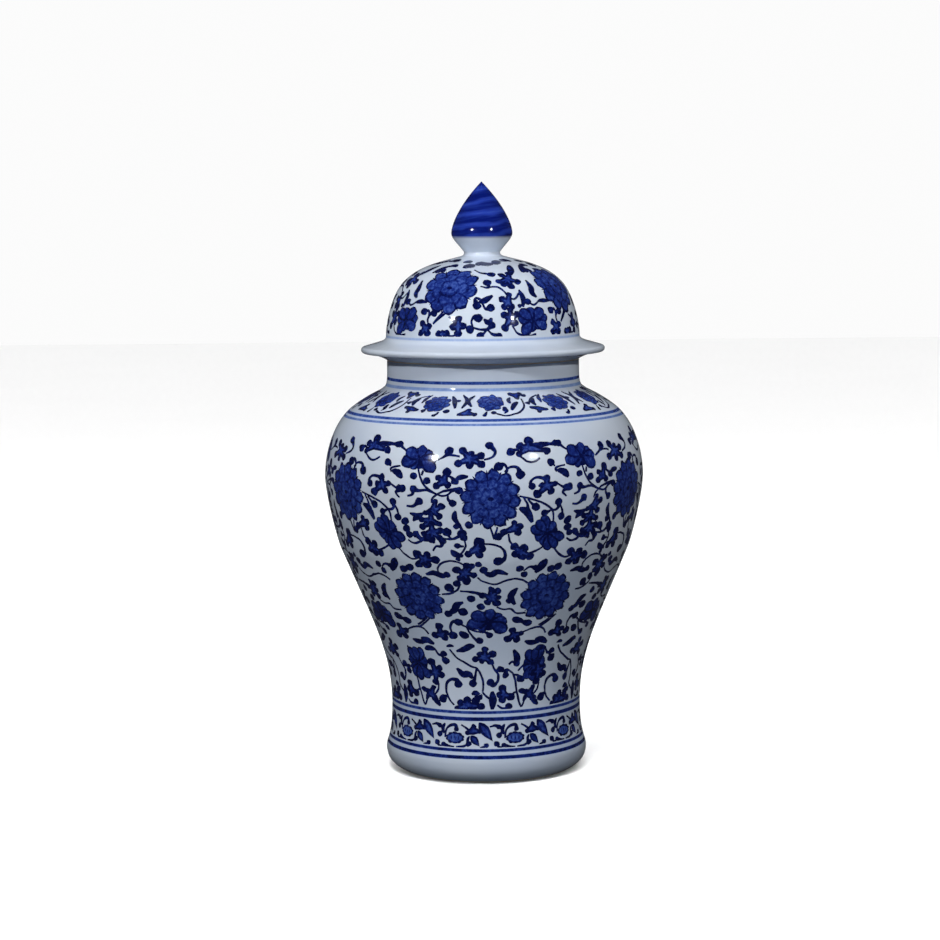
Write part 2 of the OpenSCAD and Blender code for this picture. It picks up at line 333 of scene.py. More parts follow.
class Painting:
    """One repeat of a painted band: shapes laid one over the other, each with its tone."""

    def __init__(self, outline, width):
        self.outline = outline
        self.width = width
        self.shapes = []
        self.start = 0.0          # the turn that the next shapes' turns are counted from

    def lay(self, points, tone, turn=0.0, height=0.0, tilt=0.0, wobble=0.12):
        """A closed shape drawn in millimetres about a place on the pot."""
        turn += self.start
        points = self.shaken(moved(points, tilt=tilt), turn, height, wobble)
        centre = self.outline.along(height)
        s_at = centre + points[:, 1]
        r_at = self.outline.place(s_at)[:, 0]
        self.shapes.append((np.stack([turn + np.degrees(points[:, 0] / r_at), s_at], 1), tone))

    def lay_route(self, points, tone):
        """A closed shape whose places are already turns and lengths along the outline."""
        self.shapes.append((np.array(points, float) + (self.start, 0), tone))

    @staticmethod
    def shaken(points, turn, height, amount):
        """The small unevenness that a brush leaves along an edge."""
        out = []
        for x, y in points:
            at = Vector((x * GRAIN + turn, y * GRAIN + height, turn * (2 * GRAIN)))
            push = noise.noise_vector(at)
            out.append((x + push.x * amount, y + push.y * amount))
        return np.array(out)

    def stroke(self, places, widths, tone=DARK, steps=5):
        """A brush stroke along a smooth route through places given as turn and height."""
        turns, heights = np.array(places, float).T
        s = self.outline.along(heights)
        scale = np.radians(self.outline.place(s)[:, 0].mean())
        points = smooth_route(np.stack([turns * scale, s], 1), steps)
        w = np.interp(np.linspace(0, 1, len(points)), np.linspace(0, 1, len(widths)), widths) / 2
        t = tangents(points)
        side = np.stack([-t[:, 1], t[:, 0]], 1) * w[:, None]
        edge = np.concatenate([points + side, (points - side)[::-1]])
        edge = self.shaken(edge, turns[0] + self.start, s[0], STROKE_WOBBLE)
        edge[:, 0] /= scale
        self.lay_route(edge, tone)

    def bare(self, levels, cut):
        """The band before painting: places along its rim and then on rows inside it. Returns them,
        how many are on the rim, and the edges that run along the cut."""
        half = self.width / 2
        ring = np.linspace(-half, half, round(self.width / RIM_TURN) + 1)
        across = np.linspace(-half, half, round(self.width / GRID_TURN) + 1)[1:-1]
        inside = levels[1:-1]
        verts = [(x, levels[0]) for x in ring]
        verts += [(half, y) for y in inside]
        verts += [(x, levels[-1]) for x in ring[::-1]]
        verts += [(-half, y) for y in inside[::-1]]
        rim, edges = len(verts), []
        for y in inside:
            on_cut = cut is not None and abs(y - cut) < SAME
            first = len(verts)
            verts += [(x, y) for x in (ring[1:-1] if on_cut else across)]
            if on_cut:
                chain = [verts.index((-half, y)), *range(first, len(verts)), verts.index((half, y))]
                edges += zip(chain[:-1], chain[1:])
        return verts, rim, edges

    def brushed(self, verts, low, high):
        """Adds the shapes that show in this repeat to the places. Returns their faces and tones."""
        half = self.width / 2
        faces, tones = [], []
        for shape, tone in self.shapes:
            for shift in (-self.width, 0, self.width):
                here = shape + (shift, 0)
                here[:, 1] = here[:, 1].clip(low + MARGIN, high - MARGIN)
                if here[:, 0].max() < -half or here[:, 0].min() > half:
                    continue
                if signed_area(here) < 0:
                    here = here[::-1]
                faces.append(list(range(len(verts), len(verts) + len(here))))
                verts.extend(map(tuple, here))
                tones.append(tone)
        return faces, tones

    def straighten(self, spots, scale, rows):
        """Puts places that the cutting moved a hair off a straight edge back on it, and gives the
        right side the left side's heights, so that each repeat closes against the next."""
        half = self.width / 2
        slack = (SLACK * SNAP / scale, SLACK * SNAP)
        for value, column in ((-half, 0), (half, 0), *((row, 1) for row in rows)):
            near = np.abs(spots[:, column] - value) < slack[column]
            spots[near, column] = value
        left, right = (np.flatnonzero(spots[:, 0] == side) for side in (-half, half))
        left, right = (side[np.argsort(spots[side, 1])] for side in (left, right))
        spots[right, 1] = spots[left, 1]

    def band(self, skins, repeats):
        """Paints the shapes into the pot's surface: cuts it along their edges and gives every facet
        the tone of the topmost shape over it. skins is one skin, or two that meet at a cut, each
        with the heights between which the band belongs to it, lowest first. Returns the turns of
        the places along the cut."""
        rows = [self.outline.along(height) for height in (skins[0][1], *(top for *_, top in skins))]
        low, high = rows[0], rows[-1]
        cut = rows[1] if len(skins) > 1 else None
        levels = np.linspace(low, high, max(2, round((high - low) / GRID_UP)) + 1)
        if cut is not None:               # it takes the place of the rows nearest to it
            levels = np.sort(np.append(levels[np.abs(levels - cut) > GRID_UP / 3], cut))
        verts, rim, edges = self.bare(levels, cut)
        faces, tones = self.brushed(verts, low, high)
        faces, tones = [list(range(rim)), *faces], [WHITE, *tones]      # face 0 is the whole band
        scale = np.radians(CUT_R)
        flat = [Vector((x * scale, y)) for x, y in verts]
        out_verts, _, tris, _, _, origins = delaunay_2d_cdt(flat, edges, faces, 0, SNAP, True)
        spots = np.array([(v.x / scale, v.y) for v in out_verts])
        self.straighten(spots, scale, rows)
        shown = [(tri, tones[max(origin)]) for tri, origin in zip(tris, origins) if 0 in origin]
        tris, tones = (np.array(column) for column in zip(*shown))
        middle = spots[tris].mean(1)[:, 1]
        r_mean = self.outline.place(spots[:, 1])[:, 0].mean()
        for (skin, *_), bottom, top in zip(skins, rows[:-1], rows[1:]):
            mine = (middle > bottom) & (middle < top)
            used, index = np.unique(tris[mine], return_inverse=True)
            here = spots[used]
            path = self.outline.place(here[:, 1])
            out = self.outline.normal(here[:, 1])
            sheet = np.stack([np.radians(here[:, 0]) * r_mean, here[:, 1]], 1)
            for k in range(repeats):
                turns = here[:, 0] + k * self.width
                skin.add(on_wheel(path, turns), index.reshape(-1, 3), on_wheel(out, turns),
                         tones[mine], sheet)
        if cut is None:
            return None
        along = spots[np.abs(spots[:, 1] - cut) < SAME, 0]
        around = along + self.width * np.arange(repeats)[:, None]
        return np.unique(np.round(around % FULL_TURN, 6))


def moved(points, dx=0.0, dy=0.0, tilt=0.0):
    """A shape turned about the origin and then shifted."""
    c, s = math.cos(math.radians(tilt)), math.sin(math.radians(tilt))
    return np.array(points) @ np.array([[c, s], [-s, c]]) + (dx, dy)


def signed_area(p):
    q = np.roll(p, -1, 0)
    return float((p[:, 0] * q[:, 1] - q[:, 0] * p[:, 1]).sum()) / 2


def smooth_route(points, steps):
    """A rounded line through every point."""
    if len(points) == 2:
        t = np.linspace(0, 1, steps + 1)[:, None]
        return points[0] * (1 - t) + points[1] * t
    padded = np.concatenate([[2 * points[0] - points[1]], points, [2 * points[-1] - points[-2]]])
    out = []
    for i in range(len(points) - 1):
        a, b, c, d = padded[i:i + 4]
        for t in np.arange(steps) / steps:
            out.append(0.5 * (2 * b + (c - a) * t + (2 * a - 5 * b + 4 * c - d) * t * t
                              + (3 * b - a - 3 * c + d) * t ** 3))
    out.append(points[-1])
    return np.array(out)


def oval(a, b, count=12):
    t = np.arange(count) * 2 * np.pi / count
    return np.stack([a * np.cos(t), b * np.sin(t)], 1)


def scalloped(r, lobes, depth):
    count = 6 * lobes
    t = np.arange(count) * 2 * np.pi / count
    bulge = np.abs(np.sin(t * lobes / 2))
    return np.stack([np.cos(t), np.sin(t)], 1) * (r * (1 - depth * (1 - bulge)))[:, None]


def petal(length, width, head=0.5):
    """A petal that grows up from the origin, narrow at its foot. A head of 0.5 is round, of 1 pointed."""
    t = (1 - np.cos(np.linspace(0, np.pi, 8))) / 2
    half = width / 2 * np.clip(np.sin(np.pi * t ** 1.4), 0, 1) ** head
    right = np.stack([half, t * length], 1)
    left = np.stack([-half, t * length], 1)[::-1]
    return np.concatenate([right[:-1], left[:-1]])


# ---------------------------------------------------------------- motifs

LINE = 1.85               # width of a vine, in millimetres
LOAD = 1.48               # how far a loaded brush spreads a bead past its listed radius,
LEAF_LOAD = 1.75          # and a leaf past its listed width
WEB, NECK = 6.6, 3.4      # widths of a spray's stems at its middle and at its lobes
PETAL, WASH = 0.77, 0.82  # how much cobalt the petals of a full flower and a side flower carry
INNER_EDGE = 0.89         # and the edges of a full flower's inner petals
SCALLOP = 0.17            # how deep a full flower's edge dips between its petals,
EDGE = 0.085              # how wide the dark edge round a petal is,
VEIN = 0.032              # and half a vein's width, all in shares of the flower's radius


def blossom(painting, turn, height, r, petals=12):
    """A full flower seen from above: rings of broad petals, each ring a wash inside a darker edge."""
    rings = ((1.0, petals, DARK), (0.7, petals - 3, INNER_EDGE), (0.4, petals // 2, INNER_EDGE))
    for row, (reach, count, edge) in enumerate(rings):
        turned_by = 8 + 14 * row           # so that one ring's petals don't hide the next one's
        outer = r * reach
        painting.lay(scalloped(outer, count, SCALLOP), edge, turn, height, turned_by, wobble=1.3)
        wash = scalloped(outer - EDGE * r, count, SCALLOP)
        painting.lay(wash, PETAL, turn, height, turned_by, wobble=1.3)
        for k in range(count):
            vein = moved(oval(0.2 * outer, VEIN * r, 8), 0.74 * outer)
            tilt = turned_by + FULL_TURN / count * k
            painting.lay(moved(vein, tilt=tilt), edge, turn, height, wobble=0.7)
    painting.lay(oval(0.1 * r, 0.07 * r, 8), DARK, turn, height)


# Flowers seen from the side: each petal's direction from upright, its length and its width, in
# degrees and in shares of the flower's size.
OPEN_FLOWER = [(125, 0.34, 0.34), (20, 0.3, 0.3), (100, 0.52, 0.34), (58, 0.46, 0.34), (-60, 0.36, 0.3),
               (-9, 0.35, 0.27), (-88, 0.44, 0.3), (-122, 0.5, 0.34)]
TALL_FLOWER = [(68, 0.34, 0.32), (-67, 0.34, 0.32), (127, 0.34, 0.3), (32, 0.49, 0.3), (-23, 0.49, 0.3),
               (4, 0.47, 0.27), (151, 0.46, 0.3), (-145, 0.5, 0.3), (178, 0.48, 0.27)]
BROAD_FLOWER = [(151, 0.3, 0.3), (-128, 0.28, 0.3), (11, 0.35, 0.32), (83, 0.42, 0.3), (-80, 0.45, 0.3),
                (52, 0.45, 0.32), (-47, 0.45, 0.32), (133, 0.48, 0.3), (-115, 0.44, 0.3)]


def side_flower(painting, turn, height, size, petals, tilt=0.0):
    """A flower seen from the side: dark petals round its heart, each filled with a wash."""
    painting.lay(oval(0.3 * size, 0.24 * size), DARK, turn, height, tilt)
    for angle, length, width in petals:
        whole = moved(petal(length * size, width * size), tilt=angle)
        painting.lay(whole, DARK, turn, height, tilt, wobble=0.8)
        wash = moved(petal(0.76 * length * size, 0.66 * width * size), dy=0.17 * length * size)
        painting.lay(moved(wash, tilt=angle), WASH, turn, height, tilt, wobble=0.6)


def bead(painting, turn, height, r):
    """The round end of a stroke, where the brush was set down and lifted."""
    painting.lay(oval(r * LOAD, r * LOAD * 0.92), DARK, turn, height, wobble=0.8)


def tendril(painting, places, dot):
    """A vine. A dot that isn't 0 is the radius of the round bead that it swells into at its end."""
    if not dot:
        painting.stroke(places, [LINE * 0.8, LINE, LINE * 0.9])
        return
    painting.stroke(places, [LINE * 0.8, LINE, LINE * 1.4, dot * 2.2])
    bead(painting, *places[-1], dot)


def leaf(painting, places, width):
    """A thick brush stroke with thin ends."""
    full = width * LEAF_LOAD
    painting.stroke(places, [full * 0.3, full * 0.84, full, full * 0.84, full * 0.36])


def spray(painting, middle, lobes):
    """A leaf of round lobes on short necks from its middle, with a paler vein towards each."""
    for turn, height, r in lobes:
        painting.stroke([middle, (turn, height)], [WEB, NECK], steps=3)
        bead(painting, turn, height, r)
    for turn, height, _ in lobes:
        near = [middle[0] + (turn - middle[0]) * 0.7, middle[1] + (height - middle[1]) * 0.7]
        painting.stroke([middle, near], [WEB * 0.45, 0.7], PETAL, steps=2)


def scroll(painting, sprays, tendrils, leaves, dots):
    """The vines first, then what grows on them."""
    for dot, places in tendrils:
        tendril(painting, places, dot)
    for width, places in leaves:
        leaf(painting, places, width)
    for turn, height, r in dots:
        bead(painting, turn, height, r)
    for middle, lobes in sprays:
        spray(painting, middle, lobes)


# The scroll's marks, placed by (turn in degrees, height in millimetres) about the middle of their
# repeat. A spray has its middle and then each lobe's place and radius. A tendril has the radius of
# the bead at its end, or 0, and a leaf its width, and then the places that each runs through. A dot
# has its place and radius. This is the body's, one sixth of the way round.
FIELD_SPRAYS = [
    ((-5, 256), [(-7.5, 261.5, 2.3), (-4.5, 259.5, 1.9), (-1, 258, 2.2), (-9, 252.5, 2.2), (-5, 251, 2.1),
                 (-1, 252, 2.2)]),
    ((-14, 239.5), [(-13, 246, 2.4), (-16, 242, 1.8), (-16.5, 236, 2), (-12.5, 236.5, 2)]),
    ((22, 235), [(22, 240.5, 2), (18.5, 229, 2.5), (20, 235.5, 1.8), (23.5, 230.5, 2.1), (25, 236, 1.8)]),
    ((16, 263), [(13, 264.5, 2.2), (16.5, 268, 2.7), (20, 263, 2), (23, 260.5, 2.3), (12.5, 259, 1.8)]),
    ((-18, 217), [(-17, 224, 1.5), (-15, 220.5, 2), (-21, 215, 1.6), (-16, 213, 2)]),
    ((-19, 209), [(-22.5, 210, 1.8), (-22.5, 204.5, 2), (-16, 207, 1.7), (-19, 215, 1.6)]),
    ((-19, 201), [(-22, 198.5, 2), (-16, 202, 2.2), (-16.5, 196.5, 2), (-19.5, 195, 2.3), (-19, 207, 1.8)]),
    ((-23.5, 179), [(-26, 183, 2.6), (-22, 182.5, 2.3), (-19, 179, 2.6), (-26, 175, 2.4),
                    (-22.5, 175, 2.5)]),
    ((-3, 188.5), [(-2, 193.5, 2.9), (-1, 188.5, 2.2), (-4.5, 187, 1.9), (-6, 184, 2.2), (-2, 183.5, 2.2)]),
    ((10.5, 203.5), [(7, 201, 2.1), (10.5, 207.5, 1.8), (12.5, 205, 2.1), (12, 200.5, 2.2)]),
    ((13, 185.5), [(11, 189.5, 2.4), (14.5, 188, 2.5), (11.5, 183.5, 2.2), (14, 181.5, 2.4),
                   (17, 181.5, 2.3)]),
    ((-8, 169), [(-11, 171.5, 2.4), (-7, 174.5, 2.1), (-5, 174.5, 1.8), (-4.5, 167.5, 2), (-10, 165, 2),
                 (-7, 163.5, 2.2)]),
    ((2.5, 149.5), [(5, 154.5, 2.2), (-0.5, 151, 1.8), (5.5, 149.5, 1.8), (5, 144.5, 2.3), (1, 145.5, 2),
                    (2.5, 156, 1.6)]),
    ((-22.5, 118.5), [(-22.5, 125, 2.4), (-25.5, 117.5, 2.3), (-19.5, 120, 1.9), (-20.5, 115.5, 2)]),
    ((14, 118), [(13, 122, 2.1), (17.5, 119, 1.9), (11, 115, 2.4), (15.5, 114.5, 2.2)]),
    ((-0.5, 100.5), [(-5.5, 99, 2), (-3, 103, 1.7), (-0.5, 107, 1.9), (3.5, 103, 2.3), (2.5, 96.5, 2),
                     (-2, 97, 1.6)]),
    ((-29, 87), [(-31, 95, 2.4), (-26.5, 90.5, 2), (-32.5, 86, 2.1), (-26, 85, 2.2), (-30, 79, 2.2)]),
    ((-11, 62), [(-17, 59, 1.9), (-15, 63.5, 2), (-11, 66, 2.2), (-8, 60, 2.2), (-12.5, 58.5, 1.8),
                 (-3, 61, 2.2)]),
    ((10.5, 70), [(9.5, 75, 2.3), (8, 70, 2), (9.5, 66, 2.1), (14.5, 68, 2.3)]),
    ((26, 69), [(24, 71, 1.7), (28, 74.5, 1.6), (28.5, 66, 2.1)]),
]
FIELD_TENDRILS = [
    (2, [(-28.5, 260), (-30.5, 263), (-32, 265.5)]),
    (2.4, [(-16.5, 254.5), (-14, 257.5), (-12.5, 261.5)]),
    (0, [(-14, 257.5), (-11.5, 258.5), (-8.5, 257.5)]),
    (2.2, [(0, 255), (3, 257), (4, 261), (2, 265.5)]),
    (0, [(11.5, 259), (13.5, 256), (15.5, 253), (18, 253), (20, 255.5)]),
    (1.9, [(20, 264), (24, 265), (27, 265.5)]),
    (2.3, [(13, 260), (11.5, 262), (9.5, 260.5)]),
    (2.5, [(7, 244), (8, 247.5), (7, 251.5), (5, 250)]),
    (2.5, [(7, 246), (9, 249.5), (11.5, 249), (12.5, 244)]),
    (0, [(-23.5, 249), (-22.5, 242), (-20.5, 235), (-16.5, 229.5)]),
    (0, [(-21.5, 247), (-22, 243)]),
    (2.1, [(-16.5, 229.5), (-20, 232.5), (-23, 232), (-25, 233)]),
    (0, [(-16.5, 229.5), (-13.5, 228.5), (-11, 232), (-8.5, 233), (-6.5, 230)]),
    (2.1, [(-16.5, 229.5), (-14, 232), (-10, 233.5), (-8.5, 232.5)]),
    (2.1, [(-12.5, 229), (-12.5, 226), (-11, 223)]),
    (0, [(-16.5, 229.5), (-18, 226.5), (-18.5, 223)]),
    (2.3, [(-30.5, 226), (-32, 230), (-29.5, 233)]),
    (2, [(-27.5, 227.5), (-25.5, 229), (-25, 233)]),
    (2, [(-13.5, 243.5), (-11.5, 242.5), (-10, 239.5)]),
    (1.9, [(16, 238), (17.5, 241), (20, 241), (22, 239)]),
    (2, [(20, 241.5), (17.5, 241), (16, 238), (16.5, 235)]),
    (2.3, [(25.5, 249), (24, 252)]),
    (0, [(29.5, 249.5), (26.5, 248.5), (25.5, 247), (26, 245)]),
    (2.2, [(26, 236), (28.5, 233), (29.5, 233)]),
    (0, [(12, 228), (17, 225), (21.5, 221), (24.5, 215), (25, 206)]),
    (2.2, [(22.5, 220), (24.5, 216.5), (26.5, 218), (26.5, 222.5)]),
    (2, [(24, 217), (23, 215.5), (21.5, 214.5)]),
    (2.1, [(13.5, 227), (15, 221), (15, 216)]),
    (2.4, [(15, 225.5), (16.5, 222), (18, 219.5)]),
    (1.9, [(-10, 213), (-9, 207.5), (-8, 202.5), (-7.5, 196.5)]),
    (2.5, [(-15.5, 196), (-12, 195.5), (-9.5, 197.5), (-8, 200)]),
    (2.6, [(-12, 196), (-13, 198), (-13.5, 201)]),
    (2.1, [(-19.5, 186), (-18, 189.5), (-16, 190), (-15.5, 194)]),
    (2.1, [(-29, 194), (-26.5, 191.5), (-23.5, 194), (-25.5, 198.5)]),
    (0, [(-7.5, 196.5), (-7, 190), (-8.5, 185), (-10.5, 180)]),
    (1.8, [(-7.5, 190), (-10, 190.5)]),
    (0, [(2, 204.5), (3.5, 195.5)]),
    (0, [(4.5, 205), (3.5, 195.5)]),
    (2.7, [(-1, 192), (2.5, 191.5), (6, 189), (7.5, 184), (7, 179.5), (5, 178.5)]),
    (2, [(3.5, 195.5), (5.5, 197), (7, 201)]),
    (0, [(8.5, 199.5), (9, 194), (10.5, 190.5)]),
    (0, [(15.5, 183.5), (19, 185.5), (22.5, 189.5)]),
    (0, [(26, 188), (28.5, 182.5), (31.5, 179), (34.5, 180)]),
    (0, [(-7.5, 175), (-10, 177.5), (-13.5, 178.5), (-17, 176), (-18.5, 172), (-18, 167.5)]),
    (1.9, [(15, 170), (17.5, 173), (20, 172)]),
    (0, [(-3, 165.5), (-0.5, 162), (4, 160), (8, 162.5), (12, 164), (15.5, 162.5), (17.5, 160)]),
    (2.6, [(-18.5, 151.5), (-15.5, 152), (-13.5, 153.5), (-15, 157)]),
    (0, [(-18.5, 151.5), (-15, 152), (-11.5, 155.5), (-10, 160.5)]),
    (2, [(-10.5, 154.5), (-7, 154), (-3.5, 153), (-1, 151)]),
    (0, [(5, 141.5), (8, 139.5), (11.5, 139.5), (14, 136), (18.5, 136)]),
    (0, [(-25.5, 133), (-29.5, 127.5), (-34, 123)]),
    (0, [(-27, 133), (-30, 129), (-34, 125)]),
    (2.4, [(-16, 119), (-17, 124), (-15.5, 129), (-12.5, 129)]),
    (1.9, [(-2, 120.5), (0, 121), (2, 118.5)]),
    (2.2, [(-9, 125), (-7, 119), (-5, 115), (-3, 114)]),
    (0, [(17.5, 119.5), (20.5, 121.5), (25, 123.5), (28.5, 122.5), (31, 118)]),
    (0, [(-19, 106.5), (-16, 100.5), (-12, 96.5), (-8, 93), (-5, 91.5), (-3, 87), (-1.5, 80), (-2, 72.5)]),
    (1.9, [(-27.5, 106.5), (-25.5, 101.5), (-22.5, 102.5)]),
    (2.4, [(-24, 100.5), (-22, 97)]),
    (2.2, [(-5, 91.5), (-6, 85), (-7.5, 79)]),
    (2.4, [(-19, 61.5), (-22, 66), (-23.5, 72), (-23, 78.5), (-20, 82), (-17, 81.5), (-16, 78.5)]),
    (2.4, [(-22, 66.5), (-24, 68.5), (-26, 66)]),
    (2.2, [(3, 96), (5, 90), (7, 86), (6.5, 80.5), (4, 77.5), (2.5, 80)]),
    (2.1, [(15, 87), (12, 90), (10, 89), (8, 90.5)]),
    (2, [(12, 90), (11, 85.5)]),
    (0, [(12, 90), (15, 87), (17, 80), (18, 72), (21, 60), (24, 68.5)]),
    (1.9, [(12.5, 94), (14.5, 96), (17, 94.5)]),
    (2.3, [(15.5, 86), (18, 85), (20, 82)]),
    (0, [(18, 88.5), (21, 93), (23, 95.5)]),
    (0, [(-2, 72.5), (0, 69), (3, 66.5)]),
    (2, [(6.5, 62), (9, 59.5), (11.5, 59), (13.5, 60.5)]),
    (0, [(-28, 78), (-29, 72.5), (-32, 68)]),
    (0, [(14, 68), (16.5, 71), (18, 71.5)]),
    (0, [(-14, 130), (-10, 126), (-6, 122.5), (-2, 121)]),
    (2.3, [(-28, 220), (-25.5, 220), (-23, 224)]),
    (0, [(27, 221), (28, 216.5), (28.5, 212)]),
]
FIELD_LEAVES = [
    (2.4, [(-10, 240.5), (-8, 242.5), (-5.5, 243)]),
    (2.8, [(26, 246), (28, 245), (29.5, 241)]),
    (3.4, [(-33, 246), (-31, 244), (-29.5, 240.5)]),
    (2.4, [(-26, 208.5), (-24.5, 211.5), (-22, 210.5)]),
    (2.4, [(-27, 214.5), (-24, 213), (-21.5, 215)]),
    (3.6, [(12, 219), (15, 215.5), (17, 207.5)]),
    (2.6, [(-10, 217.5), (-10.5, 212), (-9, 206)]),
    (2.8, [(-24.5, 195.5), (-22, 195), (-19.5, 195.5), (-18.5, 192)]),
    (3, [(4, 195.5), (5, 197), (5, 200.5)]),
    (3, [(-12.5, 187), (-11, 184), (-8, 182.5)]),
    (3, [(-1.5, 171.5), (2, 167.5), (5, 170), (9, 167.5)]),
    (3, [(-24, 167), (-20.5, 168.5), (-17, 166.5), (-14.5, 168)]),
    (4.2, [(24, 178.5), (22.5, 174), (20, 168)]),
    (3.4, [(13.5, 156.5), (11.5, 152.5), (11, 148.5), (13, 143)]),
    (3.4, [(-9.5, 145.5), (-12.5, 143), (-14, 138.5), (-17.5, 135.5)]),
    (3.6, [(12.5, 132), (14.5, 130.5), (18, 129)]),
    (3.6, [(17, 129), (20, 127.5), (22.5, 127.5)]),
    (3.8, [(-12.5, 121.5), (-10.5, 118.5), (-8, 118)]),
    (2.8, [(20, 112.5), (24, 111), (29, 111.5)]),
    (3, [(-33.5, 105), (-30.5, 106.5), (-27, 105.5)]),
    (3.2, [(-15.5, 105), (-11, 107), (-8, 109.5), (-5.5, 109.5)]),
    (1.8, [(-20.5, 108.5), (-18.5, 109.5), (-16.5, 109)]),
    (3.4, [(-16, 91.5), (-13, 86.5), (-9.5, 86.5), (-7.5, 83)]),
    (3.6, [(3.5, 73), (4, 66), (3.5, 58.5)]),
    (3, [(-8.5, 70.5), (-6, 71.5), (-4, 68), (-2.5, 70.5)]),
    (2.6, [(19, 72.5), (21.5, 72), (25, 70)]),
    (2.2, [(25, 70), (23.5, 67), (22, 64)]),
    (2.6, [(-32.5, 64), (-30, 63), (-28, 60)]),
    (3.2, [(14.5, 106), (16.5, 101), (17, 96.5), (16, 93)]),
    (2.6, [(16.5, 265), (21, 265), (25.5, 265.5)]),
    (3.2, [(-34.5, 114), (-31, 113), (-27, 110)]),
]
FIELD_DOTS = [
    (-25, 242.5, 2), (-20, 239.5, 2.1), (-5.5, 206.5, 2.2), (-10, 205.5, 1.9), (-29, 208.5, 2.1),
    (28, 211, 2.1), (30.5, 207.5, 2), (-10, 180, 1.4), (-2.5, 176, 1.7), (-0.5, 171.5, 2.3),
    (13.5, 172, 2.2), (15.5, 167, 2), (26.5, 170.5, 2.4), (-15, 167.5, 1.9), (-11.5, 160.5, 2.2),
    (-6, 148.5, 2.3), (-2, 142, 2.3), (10.5, 146.5, 2.1), (-17, 135.5, 2.1), (-10, 137.5, 2.7),
    (-16, 118, 2.5), (-30.5, 172, 2.5), (31, 202.5, 2.3), (-28, 198, 2), (-6, 66, 2.3), (-14, 61, 2.6),
    (-7.5, 162, 2.2),
]

# The narrow scroll on the shoulder, one sixth of the way round.
SHOULDER_SPRAYS = [
    ((-7.5, 288), [(-10.5, 287, 1.5), (-6.5, 290, 1.3), (-4, 287, 1.5)]),
    ((17.5, 299), [(14.5, 300, 1.4), (20, 300, 1.4), (17.5, 297, 1.3)]),
    ((25.5, 290), [(22.5, 291, 1.4), (25, 288, 1.3), (28.5, 289.5, 1.5)]),
]
SHOULDER_TENDRILS = [
    (0, [(19.5, 297), (19, 292), (15.5, 288), (9.5, 286), (5.5, 287.5)]),
    (0, [(30, 299), (25, 297), (21.5, 293)]),
    (1.3, [(9, 287.5), (10.5, 289), (9.5, 291)]),
    (1.2, [(-20, 288.5), (-20.5, 287), (-21.5, 286)]),
    (1.2, [(1.5, 289), (1, 287.5), (0.5, 286.5)]),
]
SHOULDER_LEAVES = [
    (2.3, [(-16.5, 299), (-14.5, 296), (-13, 291)]),
    (2.1, [(-11, 300), (-8, 296), (-10, 291)]),
    (2.1, [(-4.5, 299.5), (-7.5, 296), (-5.5, 292)]),
    (2.6, [(17, 295), (14.5, 293), (12.5, 289.5)]),
    (2.5, [(26.5, 297), (24.5, 295), (25, 292)]),
    (2, [(14, 298), (12.5, 296), (13, 294)]),
    (2, [(-28.5, 299.5), (-30.5, 297), (-31, 294)]),
]
SHOULDER_DOTS = [
    (-16.5, 289, 1.7), (4.5, 288, 1.4), (22, 299, 1.6), (-12.5, 296, 1.4), (9.5, 290, 1.5),
    (-27.5, 289, 1.5), (21.5, 294, 1.4),
]

# The narrow scroll on the foot, one tenth of the way round.
FOOT_SPRAYS = [
    ((-8, 42), [(-11, 40.5, 1.5), (-7.5, 45.5, 1.5), (-4.5, 41.5, 1.4)]),
]
FOOT_TENDRILS = [
    (1.5, [(11, 36), (11.5, 41.5), (14, 45.5), (17.5, 46), (18, 43)]),
    (0, [(21, 46.5), (24, 44), (26.5, 41)]),
    (1.4, [(2, 45), (5, 46), (7.5, 45)]),
    (1.4, [(17, 29.5), (13.5, 29.5), (10, 31)]),
    (0, [(-11, 32), (-13.5, 30), (-18, 29.5)]),
]
FOOT_LEAVES = [
    (1.9, [(11, 47), (9.5, 43.5), (10, 39)]),
    (1.4, [(10, 41), (8.5, 40), (7, 37.5)]),
    (1.4, [(-10, 38), (-11, 35), (-11, 31)]),
    (1.2, [(5.5, 32.5), (7, 30), (9, 29.5)]),
    (1.2, [(-0.5, 31), (-1.5, 29.5), (-4, 29)]),
]
FOOT_DOTS = [
    (-10.5, 32, 1.6), (0, 31, 1.5), (6, 32, 1.6), (7.5, 38.5, 1.6),
]

# The scroll on the lid's dome, one quarter of the way round.
LID_SPRAYS = [
    ((-35.5, 349.5), [(-38, 353, 2), (-33, 351, 2.1), (-34, 346, 2.1), (-38.5, 346, 2)]),
    ((-14.5, 351), [(-14.5, 357, 2.1), (-17.5, 351, 2.1), (-12, 351.5, 2.1), (-14.5, 346, 2.2)]),
    ((19.5, 386), [(12.5, 384.5, 2.2), (15.5, 389, 2), (20, 381, 2.3), (26, 384, 2.3), (22.5, 390, 2.2),
                   (15, 382, 1.8)]),
    ((16, 369.5), [(12.5, 371, 2), (13.5, 365.5, 2), (17.5, 374.5, 1.8), (18, 365.5, 1.9)]),
    ((16.5, 356.5), [(13, 359.5, 2.2), (21, 360, 1.9), (19, 353.5, 2.2), (13, 350, 2.2), (17, 363.5, 1.9)]),
    ((-24, 345.5), [(-26.5, 345.5, 1.9), (-21.5, 346, 2.1)]),
]
